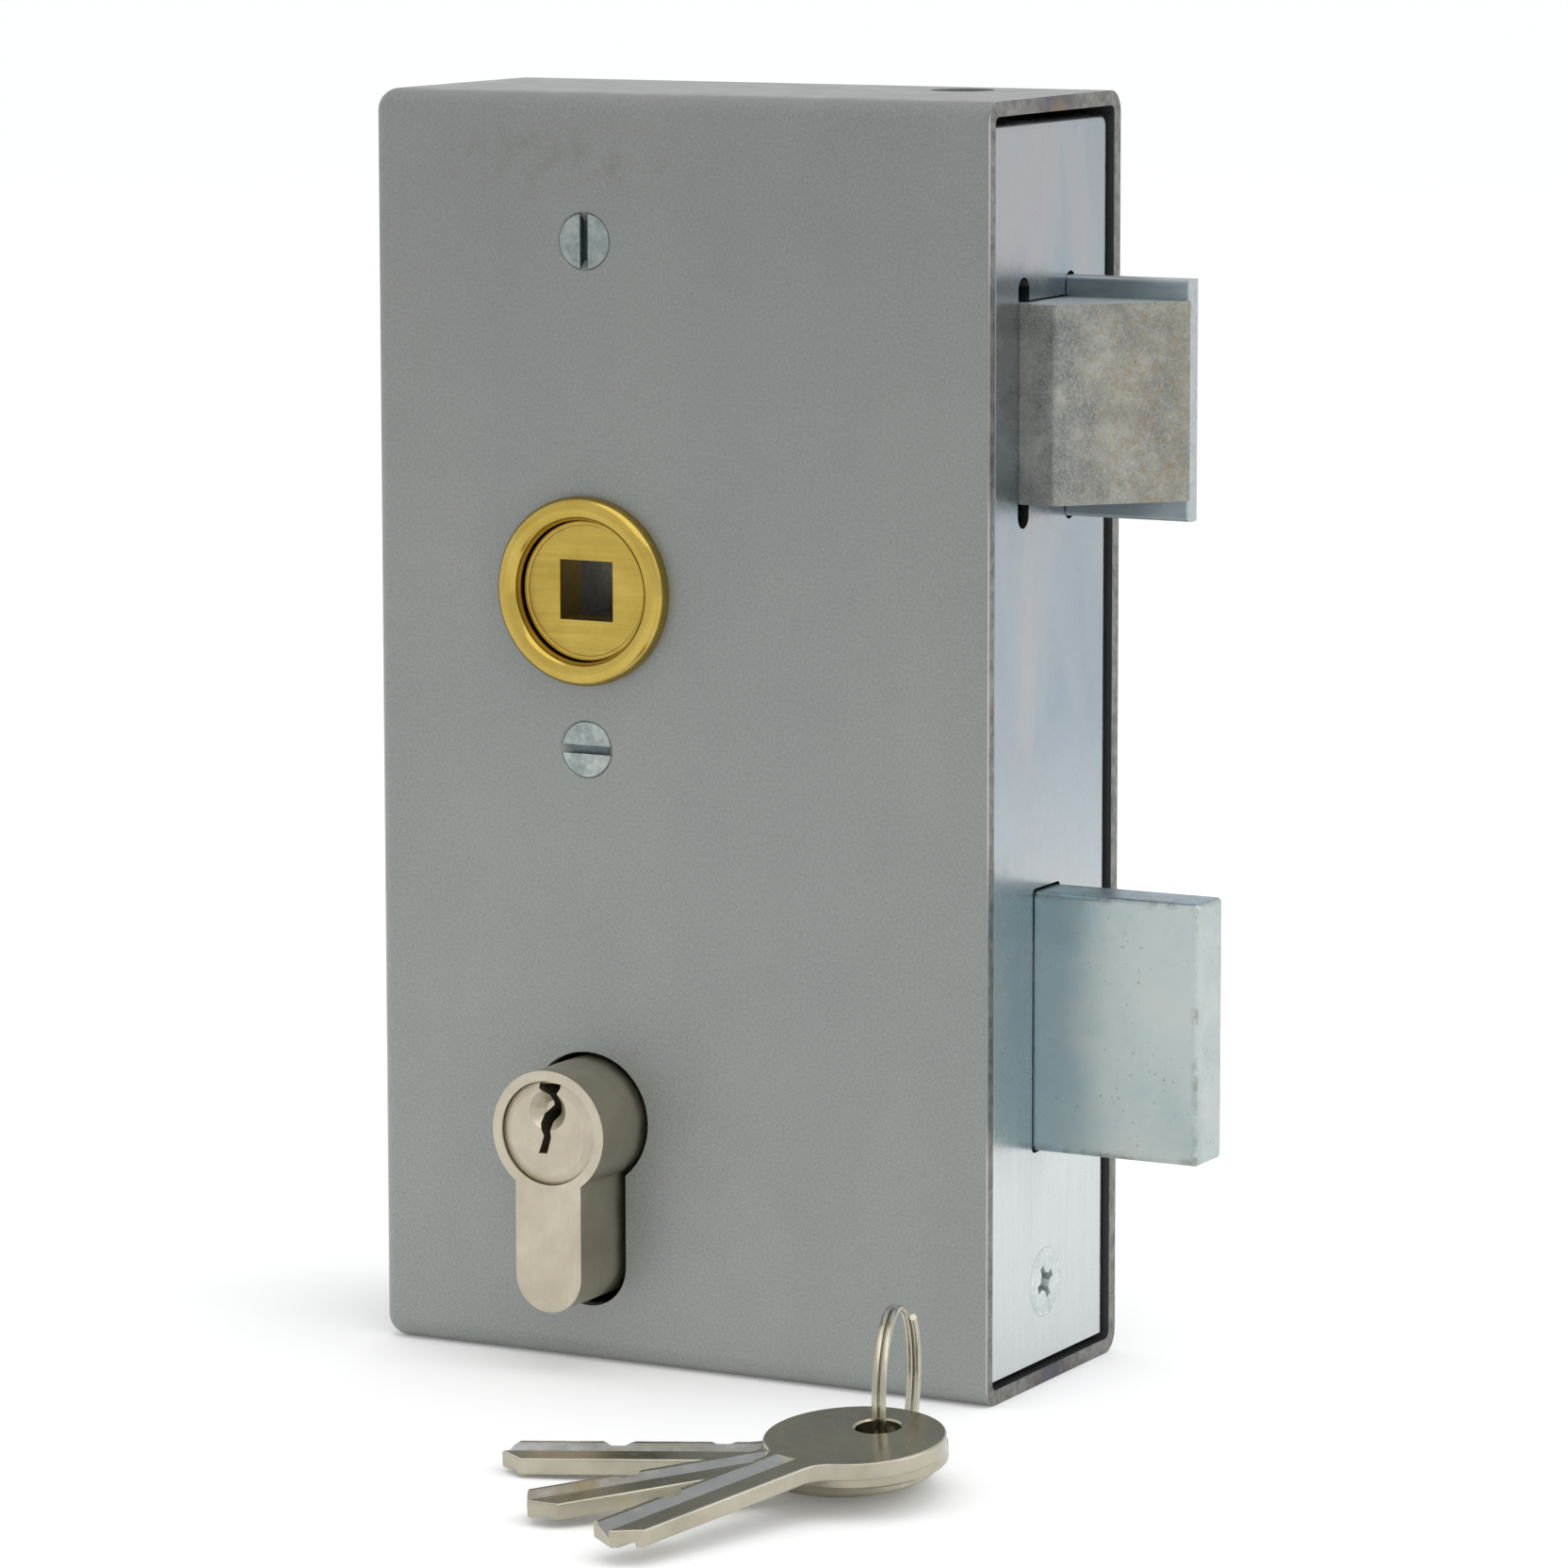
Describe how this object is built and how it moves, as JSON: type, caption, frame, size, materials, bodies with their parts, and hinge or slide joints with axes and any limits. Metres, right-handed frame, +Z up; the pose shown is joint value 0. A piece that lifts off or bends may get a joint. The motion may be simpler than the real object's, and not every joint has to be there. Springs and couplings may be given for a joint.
{
  "type": "gate lock case",
  "caption": "Box-section gate lock with a bevelled sprung latch, a deadbolt, a double profile cylinder, a square spindle follower and keys on a split ring.",
  "frame": {"origin": "middle of the case's flat bottom face", "axes": "+X is the way the latch and deadbolt are thrown, -Y is the front face with the outer plug of the cylinder, +Z is up along the case"},
  "size_m": [0.1165, 0.1418, 0.172],
  "materials": {
    "case_paint": "satin metallic grey paint with a fine orange peel",
    "zinc_plate": "bright zinc plate with a faint iridescent passivation",
    "bolt_steel": "zinc plated, speckled and browned near the edges",
    "cast_steel": "raw sintered steel with oily stains",
    "brass": "brushed",
    "satin_nickel": "satin nickel plate",
    "polished_nickel": "polished nickel plate with warm worn edges",
    "fastener_zinc": "bright zinc plate",
    "spring_steel": "drawn wire",
    "cam_steel": "sintered steel, oiled"
  },
  "bodies": {
    "root": {"case_front_shell": "case_paint", "case_rear_shell": "case_paint", "case_weld_seam": "case_paint", "lock_chassis": "zinc_plate", "chassis_cover_plate": "zinc_plate", "chassis_pillars": "zinc_plate", "cover_screws": "fastener_zinc", "case_screws": "fastener_zinc", "front_follower_bush": "brass", "rear_follower_bush": "brass", "cylinder_body": "satin_nickel", "cylinder_screw": "fastener_zinc", "driver_pins": "brass", "pin_springs": "spring_steel", "pin_chamber_caps": "brass", "latch_spring_bracket": "zinc_plate", "latch_guide_stud": "fastener_zinc", "deadbolt_guide_stud": "fastener_zinc", "deadbolt_friction_spring": "spring_steel", "follower_return_spring": "spring_steel", "latch_spring": "spring_steel"},
    "latch_bolt": {"latch_block": "cast_steel", "latch_plate": "zinc_plate", "latch_rivets": "fastener_zinc", "latch_spring_rod": "fastener_zinc"},
    "spindle_follower": {"follower": "cast_steel", "follower_disc_front": "brass", "follower_disc_rear": "brass"},
    "deadbolt": {"deadbolt_block": "bolt_steel", "deadbolt_tail": "bolt_steel", "deadbolt_rivets": "fastener_zinc"},
    "outer_plug_group": {"outer_plug": "satin_nickel", "outer_key_pins": "brass", "outer_circlip": "spring_steel"},
    "inner_plug_group": {"inner_plug": "satin_nickel", "inner_key_pins": "brass", "inner_circlip": "spring_steel"},
    "cam_group": {"cylinder_cam": "cam_steel", "cam_clutch": "cam_steel"},
    "ring_body": {"key_ring": "polished_nickel"},
    "key_top_body": {"key_top": "polished_nickel"},
    "key_middle_body": {"key_middle": "polished_nickel"},
    "key_bottom_body": {"key_bottom": "polished_nickel"}
  },
  "joints": [
    {"name": "follower_turn", "type": "hinge", "parent": "root", "child": "spindle_follower", "pos_m": [-0.0135, 0, 0.1055], "axis": [0, -1, 0], "range_deg": [0, 40], "stiffness_Nm_per_rad": 0.4, "springref_deg": -20.05, "deforming": ["follower_return_spring"]},
    {"name": "latch_slide", "type": "slide", "parent": "root", "child": "latch_bolt", "axis": [1, 0, 0], "range_m": [-0.018, 0], "stiffness_N_per_m": 200, "springref_m": 0.012, "deforming": ["latch_spring"]},
    {"name": "outer_plug_turn", "type": "hinge", "parent": "root", "child": "outer_plug_group", "pos_m": [-0.0135, 0, 0.0335], "axis": [0, -1, 0], "range_deg": [0, 360]},
    {"name": "cam_turn", "type": "hinge", "parent": "root", "child": "cam_group", "pos_m": [-0.0135, 0, 0.0335], "axis": [0, -1, 0], "range_deg": [0, 360]},
    {"name": "deadbolt_slide", "type": "slide", "parent": "root", "child": "deadbolt", "axis": [1, 0, 0], "range_m": [-0.023, 0]},
    {"name": "inner_plug_turn", "type": "hinge", "parent": "root", "child": "inner_plug_group", "pos_m": [-0.0135, 0, 0.0335], "axis": [0, -1, 0], "range_deg": [0, 360]},
    {"name": "keys_lift", "type": "slide", "parent": "root", "child": "ring_body", "axis": [0, 0, 1], "range_m": [0, 0.06]},
    {"name": "key_top_swing", "type": "hinge", "parent": "ring_body", "child": "key_top_body", "pos_m": [0.0541, -0.066, 0.00766], "axis": [0, -0.0906, 0.9959], "range_deg": [-10, 15]},
    {"name": "key_middle_swing", "type": "hinge", "parent": "ring_body", "child": "key_middle_body", "pos_m": [0.0541, -0.0631, 0.00546], "axis": [0, -0.0906, 0.9959], "range_deg": [-8, 6]},
    {"name": "key_bottom_swing", "type": "hinge", "parent": "ring_body", "child": "key_bottom_body", "pos_m": [0.0522, -0.0615, 0.00315], "axis": [0, -0.0906, 0.9959], "range_deg": [-12, 5]}
  ],
  "couplings": [
    {"joint": "follower_turn", "follows": "latch_slide", "rad_per_m": -38.78},
    {"joint": "outer_plug_turn", "follows": "deadbolt_slide", "rad_per_m": -273.18},
    {"joint": "cam_turn", "follows": "deadbolt_slide", "rad_per_m": -273.18}
  ]
}
